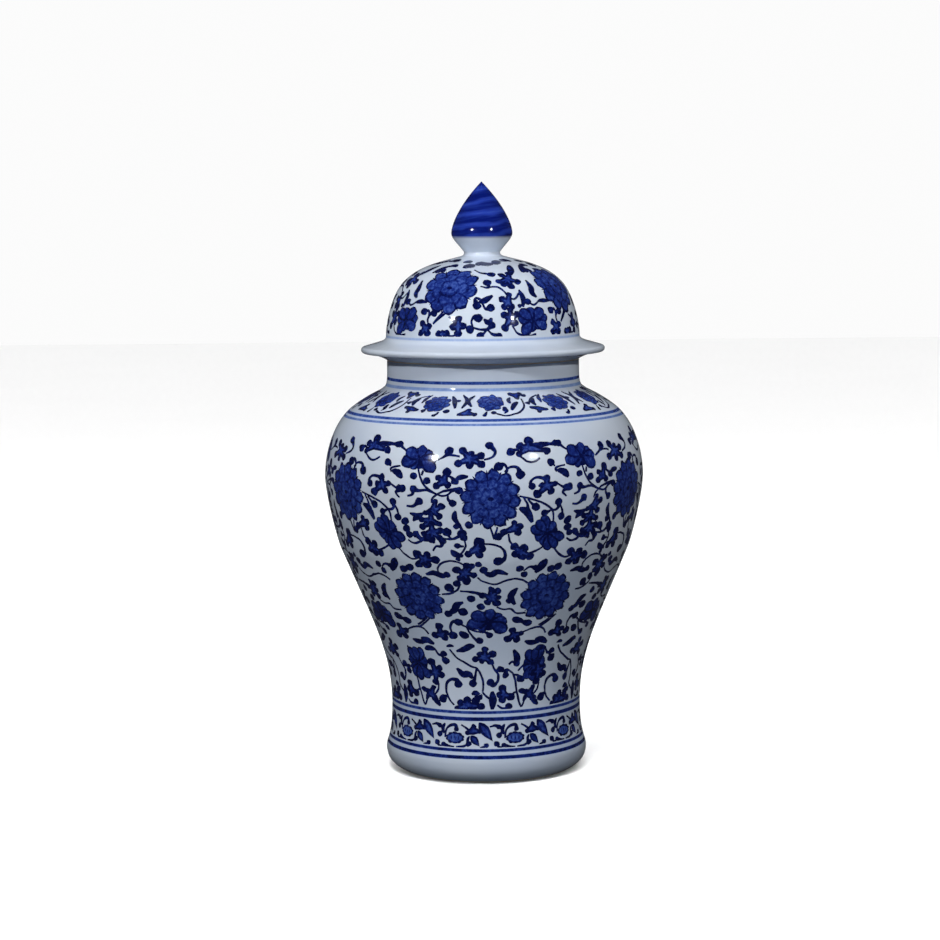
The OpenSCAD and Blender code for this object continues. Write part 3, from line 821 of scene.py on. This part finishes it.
LID_TENDRILS = [
    (0, [(-18.5, 367.5), (-23.5, 360.5), (-30.5, 353)]),
    (0, [(-21, 366.5), (-25.5, 360.5), (-30.5, 353)]),
    (2.2, [(-33.5, 351.5), (-34.5, 356.5), (-32.5, 361), (-30.5, 361)]),
    (2.2, [(-34, 357), (-34.5, 362.5), (-38, 362)]),
    (2, [(-20.5, 358.5), (-17.5, 356), (-15.5, 353.5)]),
    (0, [(-14.5, 345.5), (-18.5, 344), (-23.5, 345)]),
    (2.3, [(2.5, 369), (-1, 371), (-4.5, 372), (-3.5, 366.5)]),
    (2.4, [(-0.5, 369), (2, 364), (5, 365)]),
    (2.3, [(-6, 350.5), (-6.5, 355.5), (-4.5, 359), (-2.5, 357.5)]),
    (2, [(-6, 350.5), (-1.5, 349), (2.5, 349), (5.5, 352)]),
    (2.2, [(2.5, 349), (0.5, 346), (-1.5, 344)]),
    (1.8, [(2.5, 349), (5.5, 345.5), (9.5, 344)]),
    (2.4, [(-1.5, 381), (4, 380), (3.5, 383.5)]),
    (0, [(3.5, 380), (9.5, 380.5), (13.5, 378), (16.5, 373.5)]),
    (0, [(17.5, 351.5), (20.5, 345.5), (26.5, 343.5), (32.5, 344.5)]),
    (0, [(24.5, 375.5), (21, 371.5), (17.5, 371.5)]),
    (2.3, [(-7.5, 393), (-2.5, 391), (3.5, 390), (7.5, 389.5)]),
    (0, [(30.5, 368), (33.5, 366.5), (37.5, 369)]),
]
LID_LEAVES = [
    (3, [(-2.5, 369), (1.5, 370.5), (6.5, 374)]),
    (2.7, [(25, 378), (26.5, 372), (25.5, 365)]),
    (2.6, [(0.5, 356.5), (3.5, 354), (5.5, 357.5)]),
    (3.2, [(33.5, 385), (35, 379.5), (34.5, 375.5), (37, 372)]),
    (5.4, [(-18, 394), (-14, 396), (-10, 394.5)]),
    (5.4, [(-6, 396), (-1, 397.5), (3, 396)]),
    (5, [(4, 395.5), (7, 397), (11, 396)]),
    (3.6, [(24, 389), (27, 393), (31, 396)]),
    (3.6, [(36.5, 390.5), (41.5, 393.5), (46.5, 396)]),
    (3.6, [(-43.5, 390.5), (-39, 392.5), (-35.5, 391)]),
    (3.6, [(-37.5, 395), (-32.5, 396), (-27.5, 395)]),
    (5, [(15.5, 396.5), (20.5, 398.5), (26.5, 398.5)]),
    (2, [(36.5, 369), (41.5, 369.5), (47, 369)]),
    (5, [(-25.5, 398), (-20.5, 398.5), (-14.5, 398)]),
    (5, [(30, 398.5), (38, 399.5), (46, 398.5)]),
]
LID_DOTS = [
    (29.5, 369, 2.1), (-7.5, 349, 2.3), (23.5, 366, 1.3),
]
# And what fills the dome's two wider gaps at the back.
LID_GAP_TENDRILS = [(2.2, [(-4.5, 346), (0.5, 348.5), (4, 353.5), (1, 356)])]
LID_GAP_LEAVES = [
    (3, [(-5, 359), (-1.5, 362.5), (3, 363.5)]),
    (3.2, [(5, 373), (1, 377), (1.5, 382.5)]),
    (2.8, [(-4, 375), (-6.5, 379.5), (-5, 384.5)]),
]
LID_GAP_DOTS = [(-3.5, 352, 2.1), (6, 368, 1.8)]


def painted_field():
    """One third of the way round. Its two halves differ a little, as hand work does."""
    painting = Painting(jar_outside, 120)
    for start, low_blossom, tall_flower in ((0, 27, 27.4), (60, 30, 20)):
        painting.start = start
        scroll(painting, FIELD_SPRAYS, FIELD_TENDRILS, FIELD_LEAVES, FIELD_DOTS)
        blossom(painting, 2.2, 226.1, 23.4)
        blossom(painting, low_blossom, 148.7, 21.8)
        side_flower(painting, -23.1, 255, 31, OPEN_FLOWER)
        side_flower(painting, 1.5, 129.6, 33, OPEN_FLOWER)
        side_flower(painting, 23, 198.6, 31, TALL_FLOWER, tilt=38)
        side_flower(painting, tall_flower, 93.2, 30, TALL_FLOWER)
    return painting


def painted_shoulder():
    painting = Painting(jar_outside, 60)
    scroll(painting, SHOULDER_SPRAYS, SHOULDER_TENDRILS, SHOULDER_LEAVES, SHOULDER_DOTS)
    blossom(painting, -22.9, 294, 11, petals=8)
    blossom(painting, 3.4, 295, 11, petals=8)
    return painting


def painted_foot():
    painting = Painting(jar_outside, 36)
    scroll(painting, FOOT_SPRAYS, FOOT_TENDRILS, FOOT_LEAVES, FOOT_DOTS)
    # Two broad leaves with paler middles, and then a fruit with three dark seams.
    for turn, height, length, width, tilt in ((-0.3, 41.2, 18.4, 8, 36), (-6.6, 34.2, 11, 6, 40)):
        painting.lay(moved(petal(length, width, 0.8), dy=-length / 2), DARK, turn, height, tilt=tilt)
        inner = moved(petal(length * 0.66, width * 0.42, 0.8), dy=-length * 0.33)
        painting.lay(inner, PETAL, turn, height, tilt=tilt)
    fruit = (17.2, 36.2)
    painting.lay(scalloped(1, 10, 0.12) * (7.8, 4.8), DARK, *fruit, wobble=0.4)
    painting.lay(scalloped(1, 8, 0.12) * (5.8, 3.2), MID, *fruit, wobble=0.4)
    for x in (-2.9, 0, 2.9):
        painting.lay(moved(oval(0.4, 1.7, 8), x), DARK, *fruit, wobble=0.4)
    return painting


def painted_dome():
    """The pattern four times round, set closer together at the front than at the back."""
    painting = Painting(lid_outside, 360)
    for start in (0, 84, 180, 276):
        painting.start = start
        scroll(painting, LID_SPRAYS, LID_TENDRILS, LID_LEAVES, LID_DOTS)
        blossom(painting, -22.8, 379.8, 22.5, petals=10)
        side_flower(painting, 31.3, 354.8, 31, BROAD_FLOWER)
    for start in (132, 228):              # the two wider gaps at the back
        painting.start = start
        scroll(painting, [], LID_GAP_TENDRILS, LID_GAP_LEAVES, LID_GAP_DOTS)
    return painting


# ---------------------------------------------------------------- pieces

GLAZED, BARE = 0, 1        # a piece's material slots
RING_CLEAR = 0.3           # plain rows keep this far from a painted ring's edges
BARE_TO = 1.6              # the height up to which the foot is wiped free of glaze

# Painted rings, each with its height, its width, its tone and how far its edge fades.
FOOT_RINGS = [(21.9, 2.2, 0.9, 0.5), (24.6, 3.4, 0.1, 0.8), (27.0, 1.8, 0.86, 0.5)]
WAIST_RINGS = [(51.0, 2.4, 0.86, 0.5), (53.6, 3.4, 0.1, 0.8), (56.2, 1.8, 0.74, 0.5)]
SHOULDER_RINGS = [(279.9, 1.5, 0.5, 0.6), (281.4, 3.2, 0.12, 0.8), (283.0, 2.2, 0.66, 0.5)]
LOWER_NECK_RING = (303.4, 1.7, 0.34, 0.9)       # it runs across the joint
UPPER_NECK_RING = (308.4, 1.9, 0.7, 0.5)
BRIM_RING = (341.0, 1.0, 0.24, 1.2)


def lined(outline, low, high, rings=()):
    """A stretch of outline between two heights and its tones, with painted rings."""
    first, last = float(outline.along(low)), float(outline.along(high))
    rings = [(float(outline.along(height)), width / 2, tone, soft) for height, width, tone, soft in rings]
    corners = [first, last]
    for s, half, _, soft in rings:
        sides = (s - half - soft, s - half, s + half, s + half + soft)
        corners += [side for side in sides if first < side < last]
    plain = [s for s in map(float, outline.s)
             if first < s < last and min(abs(s - corner) for corner in corners) > RING_CLEAR]
    places = np.array(sorted(corners + plain))
    tones = np.zeros(len(places))
    for s, half, tone, soft in rings:
        tones = np.maximum(tones, tone * np.clip((half + soft - np.abs(places - s)) / soft, 0, 1))
    return outline.place(places), tones


def turned(skin, *paths, slot=GLAZED):
    """Plain wall along each path, with a crisp edge between one and the next."""
    for path in paths:
        thrown_band(skin, path, slot=slot)


def thinned(path, every):
    return path if len(path) < 3 else np.concatenate([path[:-1:every], path[-1:]])


def lute_face(skin, turns, outer, inner, up):
    """The face where two thrown sections meet. turns are all the places that the painted wall has
    along its edge, so that the wall and the face share every corner."""
    step = FULL_TURN / TURN_STEPS
    slope = np.array(outer, float) - np.array(inner, float)
    slope /= np.linalg.norm(slope)
    facing = np.array([[-slope[1], slope[0]]]) * (1 if up else -1)
    places, normals, faces = [], [], []
    for k in range(TURN_STEPS):
        a, b = k * step, (k + 1) * step
        inside = turns[(turns > a + SAME_TURN) & (turns < b - SAME_TURN)]
        edge = np.concatenate([[a], inside, [b]])
        back = np.array([b, a])
        first = len(places)
        places.extend(on_wheel(np.array([outer]), edge))
        places.extend(on_wheel(np.array([inner]), back))
        normals.extend(on_wheel(facing, np.concatenate([edge, back])))
        face = list(range(first, len(places)))
        faces.append(face if up else face[::-1])
    places = np.array(places)
    skin.add(places, faces, normals, np.zeros(len(places)), places[:, :2], BARE, LUTED)


ring_inner = RING_R - RING_W
floor_top = RECESS_H + FLOOR_T
inside = inset(joined(wall_below, wall_above, wall_neck), WALL)
seam_at = len(wall_below) - 1
joint_at = seam_at + len(wall_above) - 1
inside_below = thinned(inside[:seam_at + 1], 4)[::-1]
inside_above = thinned(inside[seam_at:joint_at + 1], 4)[::-1]
inside_neck = thinned(inside[joint_at:], 3)[::-1]
joint_h = cove[NECK_JOINT][1]
bore_r = NECK_R - WALL


def jar_sections():
    lower, upper = Skin("painted_lower_body"), Skin("painted_upper_body")
    turned(lower, [[ring_inner, 0], [RING_R, 0]], lined(jar_outside, 0, BARE_TO)[0], slot=BARE)
    thrown_band(lower, *lined(jar_outside, BARE_TO, FOOT_LOW, FOOT_RINGS), weight=1.0)
    thrown_band(lower, *lined(jar_outside, FOOT_TOP, FIELD_LOW, WAIST_RINGS), weight=1.0)
    painted_foot().band([(lower, FOOT_LOW, FOOT_TOP)], 10)
    turns = painted_field().band([(lower, FIELD_LOW, SEAM_H), (upper, SEAM_H, FIELD_HIGH)], 3)
    lute_face(lower, turns, wall_below[-1], inside[seam_at], up=True)
    lute_face(upper, turns, wall_below[-1], inside[seam_at], up=False)
    floor_bend = stretch(inside[0], DOWN, [WAIST_R * 0.6, floor_top], INWARD, 0.45, 0.55, 16)
    recess_bend = arc([ring_inner - 3 * EDGE_R, RECESS_H - 2 * EDGE_R], 2 * EDGE_R, 90, 0, 6)
    ring_corner = [ring_inner - EDGE_R, EDGE_R]
    turned(lower, joined(inside_below, floor_bend, [[0, floor_top]]))
    turned(lower, joined([[0, RECESS_H]], recess_bend, [ring_corner]))
    turned(lower, [ring_corner, [ring_inner, 0]], slot=BARE)

    thrown_band(upper, *lined(jar_outside, FIELD_HIGH, SHOULDER_LOW, SHOULDER_RINGS), weight=1.0)
    painted_shoulder().band([(upper, SHOULDER_LOW, SHOULDER_HIGH)], 6)
    thrown_band(upper, *lined(jar_outside, SHOULDER_HIGH, joint_h, [LOWER_NECK_RING]), weight=1.0)
    turned(upper, [wall_above[-1], inside[joint_at]], slot=BARE)
    turned(upper, inside_above)
    return lower, upper


def neck_section():
    skin = Skin("glazed_neck_ring")
    turned(skin, [inside[joint_at], wall_above[-1]], slot=BARE)
    rings = [LOWER_NECK_RING, UPPER_NECK_RING]
    thrown_band(skin, *lined(jar_outside, joint_h, MOUTH_H - EDGE_R, rings), weight=1.0)
    turned(skin, joined(
        arc([NECK_R - EDGE_R, MOUTH_H - EDGE_R], EDGE_R, 0, 90, 5),
        arc([bore_r + EDGE_R, MOUTH_H - EDGE_R], EDGE_R, 90, 180, 5),
    ), slot=BARE)
    turned(skin, inside_neck)
    return skin


def lid_section():
    skin = Skin("painted_lid_dome")
    collar_inner = COLLAR_R - COLLAR_T
    ledge_top = MOUTH_H + LEDGE_H
    dome_inside = inset(dome_path, WALL)
    crown = dome_inside[-1]
    pad_top = pad_edge[1]
    turned(skin, [[collar_inner, MOUTH_H], [SEAT_R, MOUTH_H]], slot=BARE)
    thrown_band(skin, *lined(lid_outside, MOUTH_H, DOME_LOW, [BRIM_RING]), weight=1.0)
    painted_dome().band([(skin, DOME_LOW, DOME_HIGH)], 1)
    turned(skin, lined(lid_outside, DOME_HIGH, pad_top)[0])
    turned(skin, [pad_edge, [VENT_R, pad_top]], [[VENT_R, pad_top], [VENT_R, crown[1]]], slot=BARE)
    ledge = stretch(dome_inside[0], DOWN, [collar_inner + EDGE_R, ledge_top], INWARD, 0.5, 0.5, 12)
    ledge_edge = arc([collar_inner + EDGE_R, ledge_top - EDGE_R], EDGE_R, 90, 180, 5)
    turned(skin, [[VENT_R, crown[1]], crown])
    turned(skin, joined(thinned(dome_inside, 4)[::-1], ledge, ledge_edge, [[collar_inner, MOUTH_H]]))
    return skin


def collar_section():
    skin = Skin("bare_lid_collar")
    inner, bottom = COLLAR_R - COLLAR_T, MOUTH_H - COLLAR_DROP
    turned(skin, [[COLLAR_R, MOUTH_H], [inner, MOUTH_H]], joined(
        [[inner, MOUTH_H]],
        arc([inner + EDGE_R, bottom + EDGE_R], EDGE_R, 180, 270, 6),
        arc([COLLAR_R - EDGE_R, bottom + EDGE_R], EDGE_R, 270, 360, 6),
        [[COLLAR_R, MOUTH_H]],
    ))
    return skin


def finial_section():
    skin = Skin("brushed_finial")
    base = pad_edge[1]
    stem, bud = [STEM_R, base + STEM_H], [BUD_R, base + BUD_H]
    top = [0, base + FINIAL_H]
    tip = [TIP_R, base + FINIAL_H - TIP_R]
    outside = Outline(joined(
        stretch([PAD_R, base], -PAD_LEAN, stem, UP, 0.4, 0.5, 12),
        stretch(stem, STEM_LEAN, bud, UP, 0.25, 0.25, 30),
        stretch(bud, UP, tip, -TIP_LEAN, 0.16, 0.5, FINE),
        stretch(tip, -TIP_LEAN, top, INWARD, 0.3, 0.4, 4),
    ))
    path, _ = lined(outside, base, top[1])
    tones = np.clip((path[:, 1] - BLUE_FROM) / BLUE_EDGE, WHITE, DARK)
    hollow_foot, hollow_wide = [VENT_R, base + STEM_H * 2], [HOLLOW_R, base + BUD_H + 2]
    hollow_top = [0, base + FINIAL_H * 0.7]
    turned(skin, [[VENT_R, base], [PAD_R, base]], slot=BARE)
    thrown_band(skin, path, tones, weight=1.0)
    turned(skin, joined(
        stretch(hollow_top, OUTWARD, hollow_wide, DOWN, 0.3, 0.6, 12),
        stretch(hollow_wide, DOWN, hollow_foot, INWARD, 0.4, 0.2, 10),
    ), [hollow_foot, [VENT_R, base]], slot=BARE)
    return skin


# ---------------------------------------------------------------- materials

class Nodes:
    """Short calls for building one material's node tree."""

    def __init__(self, name):
        self.material = bpy.data.materials.new(name)
        self.material.use_nodes = True
        self.tree = self.material.node_tree
        self.shader = self.tree.nodes["Principled BSDF"]

    def add(self, kind, **settings):
        node = self.tree.nodes.new("ShaderNode" + kind)
        for key, value in settings.items():
            setattr(node, key, value)
        return node

    def link(self, source, target):
        self.tree.links.new(source, target)

    def position(self, size=(1, 1, 1), tilt=(0, 0, 0)):
        """A place on the piece, for a pattern that is stretched by size and then tilted."""
        place = self.add("TexCoord").outputs["Object"]
        mapping = self.add("Mapping", vector_type="TEXTURE")
        mapping.inputs["Scale"].default_value = size
        mapping.inputs["Rotation"].default_value = tilt
        self.link(place, mapping.inputs["Vector"])
        return mapping.outputs["Vector"]

    def tone(self):
        """How much cobalt the mesh carries here."""
        return self.add("Attribute", attribute_type="GEOMETRY", attribute_name="cobalt").outputs["Fac"]

    def noise(self, scale, detail=2.0, rough=0.5, vector=None):
        """Soft noise from 0 to 1, with about scale lumps a metre."""
        node = self.add("TexNoise")
        node.inputs["Scale"].default_value = scale
        node.inputs["Detail"].default_value = detail
        node.inputs["Roughness"].default_value = rough
        self.link(vector or self.position(), node.inputs["Vector"])
        return node.outputs["Fac"]

    def span(self, value, low, high, to_low, to_high):
        """The value spread from one range to another, and held at its ends."""
        node = self.add("MapRange")
        for name, number in (("From Min", low), ("From Max", high), ("To Min", to_low),
                             ("To Max", to_high)):
            node.inputs[name].default_value = number
        self.link(value, node.inputs["Value"])
        return node.outputs["Result"]

    def math(self, operation, a, b):
        node = self.add("Math", operation=operation)
        for socket, value in zip(node.inputs, (a, b)):
            if isinstance(value, (int, float)):
                socket.default_value = value
            else:
                self.link(value, socket)
        return node.outputs[0]

    def ramp(self, value, stops):
        node = self.add("ValToRGB")
        elements = node.color_ramp.elements
        while len(elements) < len(stops):
            elements.new(0.5)
        for element, (place, colour) in zip(elements, stops):
            element.position = place
            element.color = (*colour, 1)
        self.link(value, node.inputs["Fac"])
        return node.outputs["Color"]

    def mix(self, factor, a, b):
        node = self.add("Mix", data_type="RGBA")
        self.link(factor, node.inputs["Factor"])
        for name, value in (("A", a), ("B", b)):
            socket = [s for s in node.inputs if s.name == name and s.type == "RGBA"][0]
            if isinstance(value, tuple):
                socket.default_value = (*value, 1)
            else:
                self.link(value, socket)
        return [s for s in node.outputs if s.type == "RGBA"][0]

    def bump(self, height, depth):
        node = self.add("Bump")
        node.inputs["Distance"].default_value = depth
        self.link(height, node.inputs["Height"])
        self.link(node.outputs["Normal"], self.shader.inputs["Normal"])


GLAZE_WHITE = (0.60, 0.665, 0.76)
GLAZE_SHADE = (0.53, 0.605, 0.73)
# What each amount of cobalt under the glaze looks like, from none to the most,
COBALT = (
    (0.0, GLAZE_WHITE),
    (0.30, (0.26, 0.38, 0.68)),
    (0.62, (0.045, 0.095, 0.38)),
    (0.80, (0.009, 0.024, 0.19)),
    (1.0, (0.0012, 0.0040, 0.050)),
)
# and each amount on the finial, from the brush's thinnest streak to its fullest.
BRUSHED = (
    (0.0, (0.070, 0.15, 0.50)),
    (0.5, (0.016, 0.042, 0.34)),
    (1.0, (0.0015, 0.0075, 0.13)),
)
WASH_SPREAD = 0.16        # how much the cobalt varies within one brush mark
STREAK = 0.16             # and within one of the finial's bands
BAND_TILT = -8            # how the finial's bands slant, in degrees


def over_porcelain(n, cover, blue, ripple):
    """Blue over white porcelain as far as cover says, under a gloss with ripples of this depth."""
    pool = n.mix(n.span(n.noise(14, 2), 0.35, 0.7, 0, 1), GLAZE_WHITE, GLAZE_SHADE)
    n.link(n.mix(cover, pool, blue), n.shader.inputs["Base Color"])
    n.link(n.span(n.noise(60, 3), 0.3, 0.7, 0.05, 0.10), n.shader.inputs["Roughness"])
    n.bump(n.noise(70, 2), ripple)
    return n.material


def glaze(name):
    """Clear glaze over white porcelain, with cobalt under it where the cobalt attribute says."""
    n = Nodes(name)
    tone = n.tone()
    mottle = n.math("ADD", n.span(n.noise(420, 3, 0.6), 0.3, 0.7, -WASH_SPREAD, WASH_SPREAD),
                    n.span(n.noise(90, 2), 0.3, 0.7, -WASH_SPREAD / 2, WASH_SPREAD / 2))
    painted = n.math("MULTIPLY_ADD", tone, mottle)
    n.link(tone, painted.node.inputs[2])
    return over_porcelain(n, n.span(tone, 0.0, 0.2, 0, 1), n.ramp(painted, COBALT), 0.00016)


def brushed_glaze():
    """The finial's glaze: a loaded brush held against the turning bud leaves slanting bands."""
    n = Nodes("cobalt_glaze")
    tone = n.tone()
    tilt = (0, math.radians(BAND_TILT), 0)
    sweep = n.add("TexWave", bands_direction="Z")
    for name, value in (("Scale", 36), ("Distortion", 3.0), ("Detail", 2), ("Detail Scale", 1.0)):
        sweep.inputs[name].default_value = value
    n.link(n.position(tilt=tilt), sweep.inputs["Vector"])
    bands = n.span(sweep.outputs["Fac"], 0.35, 1.0, 0.95, 0.5)
    along = n.position((0.2, 0.2, 0.011), tilt)
    streaks = n.span(n.noise(6, 3, 0.6, along), 0.3, 0.7, -STREAK, STREAK)
    return over_porcelain(n, tone, n.ramp(n.math("ADD", bands, streaks), BRUSHED), 0.00012)


def bare_porcelain():
    """Fired clay wiped free of glaze: matt, faintly warm, with a fine grain and pin marks."""
    n = Nodes("bare_porcelain")
    grain = n.noise(900, 4, 0.6)
    warm = n.mix(n.span(n.noise(35, 3), 0.35, 0.7, 0, 1), (0.74, 0.70, 0.62), (0.62, 0.55, 0.45))
    n.link(n.mix(n.span(grain, 0.62, 0.75, 0, 0.5), warm, (0.42, 0.33, 0.24)),
           n.shader.inputs["Base Color"])
    n.link(n.span(grain, 0.3, 0.7, 0.6, 0.8), n.shader.inputs["Roughness"])
    n.bump(n.noise(700, 3), 0.0002)
    return n.material


painted, clear = glaze("painted_glaze"), glaze("clear_glaze")
cobalt, bare = brushed_glaze(), bare_porcelain()

lower, upper = jar_sections()
for skin, materials, node, body, finish in (
    (lower, (painted, bare), "lower_body", "jar", "painted_glaze"),
    (upper, (painted, bare), "upper_body", "jar", "painted_glaze"),
    (neck_section(), (clear, bare), "neck_ring", "jar", "clear_glaze"),
    (lid_section(), (painted, bare), "lid_dome", "lid", "painted_glaze"),
    (collar_section(), (bare, bare), "lid_collar", "lid", "bare_porcelain"),
    (finial_section(), (cobalt, bare), "finial", "lid", "cobalt_glaze"),
):
    piece = skin.build(materials)
    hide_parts(node)
    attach(piece, body)


# ---------------------------------------------------------------- studio

def floor_material():
    n = Nodes("studio_floor")
    n.link(n.mix(n.noise(3, 2), (0.90, 0.90, 0.90), (0.88, 0.88, 0.88)), n.shader.inputs["Base Color"])
    n.shader.inputs["Roughness"].default_value = 0.7
    return n.material


def studio_floor():
    """A wide pale floor, which throws no light back on the jar and doesn't show in its glaze."""
    mesh = bpy.data.meshes.new("studio_floor")
    half = 6.0
    mesh.from_pydata([(-half, -half, 0), (half, -half, 0), (half, half, 0), (-half, half, 0)],
                     [], [(0, 1, 2, 3)])
    mesh.materials.append(floor_material())
    floor = bpy.data.objects.new("studio_floor", mesh)
    floor.visible_diffuse = floor.visible_glossy = False
    bpy.context.scene.collection.objects.link(floor)
    return floor


def soft_light(name, turn, height, distance, size, power, aim_at=0.25, spread=180.0):
    """A square softbox at a turn round the jar, 0 in front, facing a height on its axis. Angles
    are in degrees, lengths in metres and the power in watts."""
    light = bpy.data.lights.new(name, "AREA")
    light.size, light.energy, light.spread = size, power, math.radians(spread)
    lamp = bpy.data.objects.new(name, light)
    a = math.radians(turn)
    lamp.location = (distance * math.sin(a), -distance * math.cos(a), height)
    lamp.rotation_mode = "QUATERNION"
    lamp.rotation_quaternion = (Vector((0, 0, aim_at)) - lamp.location).to_track_quat("-Z", "Y")
    bpy.context.scene.collection.objects.link(lamp)
    return lamp


def floor_light(floor):
    """A wide soft sun that lights the floor alone, so that it stays white round the jar."""
    light = bpy.data.lights.new("floor_sun", "SUN")
    light.energy, light.angle = 3.4, math.radians(70)
    lamp = bpy.data.objects.new("floor_sun", light)
    lit = bpy.data.collections.new("lit_by_floor_sun")
    lit.objects.link(floor)
    lamp.light_linking.receiver_collection = lit
    bpy.context.scene.collection.objects.link(lamp)


ROOM, WHITE_WALL = 0.03, 0.97    # how bright the world is to the jar and to the camera


def dark_room_with_white_wall():
    """The camera sees a white wall, but the room gives the jar little light and dark reflections."""
    world = bpy.data.worlds.new("studio")
    world.use_nodes = True
    nodes, links = world.node_tree.nodes, world.node_tree.links
    background = nodes["Background"]
    background.inputs["Color"].default_value = (1, 1, 1, 1)
    path = nodes.new("ShaderNodeLightPath")
    level = nodes.new("ShaderNodeMapRange")
    level.inputs["To Min"].default_value = ROOM
    level.inputs["To Max"].default_value = WHITE_WALL
    links.new(path.outputs["Is Camera Ray"], level.inputs["Value"])
    links.new(level.outputs["Result"], background.inputs["Strength"])
    bpy.context.scene.world = world


# The camera, fitted to the photo: its place in metres, its angles in degrees (down, to the left and
# about its own line of sight), and its lens and sensor in millimetres.
EYE = (-0.00176, -2.035, 0.450)
PITCH, YAW, ROLL = 6.035, 0.259, -0.546
LENS, SENSOR = 99.8, 36


def camera():
    data = bpy.data.cameras.new("camera")
    data.sensor_width, data.lens = SENSOR, LENS
    data.clip_start, data.clip_end = 0.05, 50
    pitch, yaw, roll = (math.radians(a) for a in (PITCH, YAW, ROLL))
    ahead = Vector((-math.sin(yaw) * math.cos(pitch), math.cos(yaw) * math.cos(pitch),
                    -math.sin(pitch)))
    side = Vector((math.cos(yaw), math.sin(yaw), 0))
    up = side.cross(ahead)
    right = side * math.cos(roll) + up * math.sin(roll)
    above = up * math.cos(roll) - side * math.sin(roll)
    eye = bpy.data.objects.new("camera", data)
    turn = Matrix((right, above, -ahead)).transposed().to_4x4()
    eye.matrix_world = Matrix.Translation(EYE) @ turn
    bpy.context.scene.collection.objects.link(eye)
    bpy.context.scene.camera = eye


floor = studio_floor()
key = soft_light("key_softbox", turn=-8, height=2.3, distance=1.5, size=0.6, power=27, aim_at=0.3)
key.visible_glossy = False
fill = soft_light("low_fill", turn=-4, height=0.12, distance=1.7, size=0.3, power=0.06,
                  aim_at=0.06, spread=16)
fill.data.color = (0.68, 0.81, 1.0)
fill.visible_glossy = False
for side in (-1, 1):          # for the views from the sides and behind
    back = soft_light("back_softbox", turn=side * 140, height=0.9, distance=1.6, size=0.8, power=6)
    back.visible_camera = back.visible_glossy = False
for name, turn, power in (("lamp_left", -37, 0.85), ("lamp_right", 37, 0.65)):
    soft_light(name, turn, height=1.03, distance=1.7, size=0.045, power=power, aim_at=0.40, spread=42)
floor_light(floor)
dark_room_with_white_wall()
bpy.context.scene.view_settings.view_transform = "Standard"
camera()
